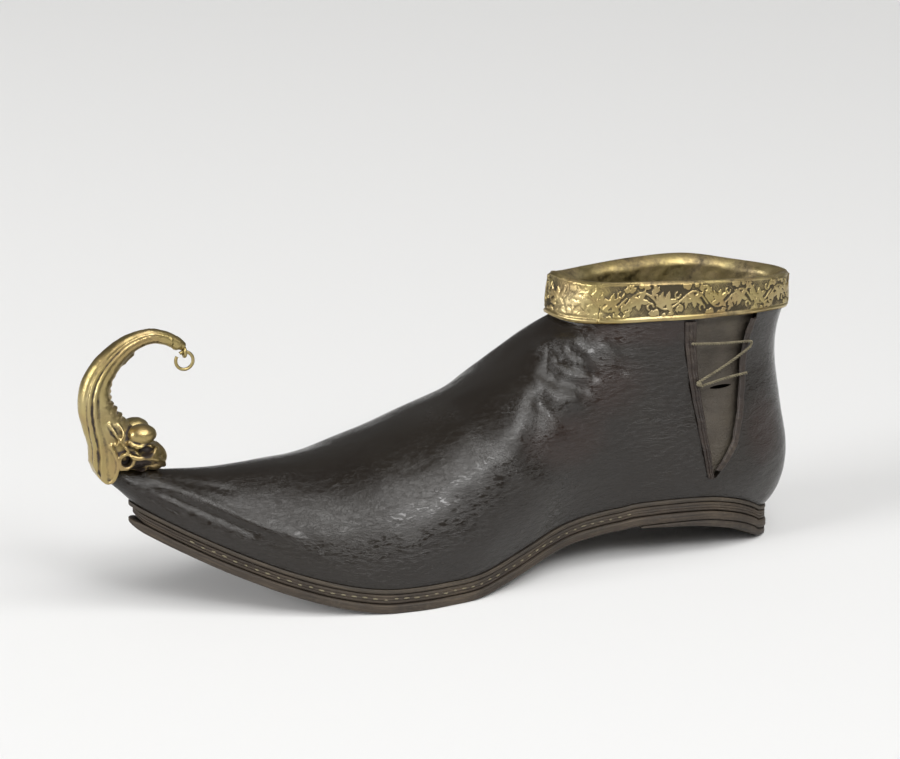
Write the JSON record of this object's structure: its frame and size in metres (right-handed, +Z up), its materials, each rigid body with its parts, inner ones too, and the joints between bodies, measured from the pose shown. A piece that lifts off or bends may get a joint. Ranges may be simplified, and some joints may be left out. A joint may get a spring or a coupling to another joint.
{
  "type": "medieval pointed shoe",
  "caption": "Pointed leather ankle shoe with a laced side opening, a layered leather sole, a gilt collar band and a curled beast-head toe mount that carries a loose ring.",
  "frame": {"origin": "on the floor, in the middle of the heel's flat spot", "axes": "+X towards the toe, +Y towards the inner side of the foot, +Z up"},
  "size_m": [0.2798, 0.0852, 0.1085],
  "materials": {
    "upper_leather": "glossy, aged, near-black leather with fine wrinkles",
    "lining_leather": "dull brown leather",
    "sole_leather": "dull brown layered sole leather with a fibrous edge",
    "cord_fibre": "thin twisted cord",
    "gilt": "worn gilt metal, chased and cast"
  },
  "bodies": {
    "shoe": {"upper": "upper_leather", "side_facing": "upper_leather", "side_gusset": "lining_leather", "insole": "lining_leather", "side_lace": "cord_fibre", "collar_band": "gilt", "toe_mount": "gilt", "rand": "sole_leather", "midsole": "sole_leather", "outsole": "sole_leather", "heel_lift": "sole_leather"},
    "ring": {"toe_ring": "gilt"}
  },
  "joints": [
    {"name": "ring_swing", "type": "hinge", "parent": "shoe", "child": "ring", "pos_m": [0.2251, 0, 0.09218], "axis": [1, 0, 0], "range_deg": [-80, 80]}
  ]
}
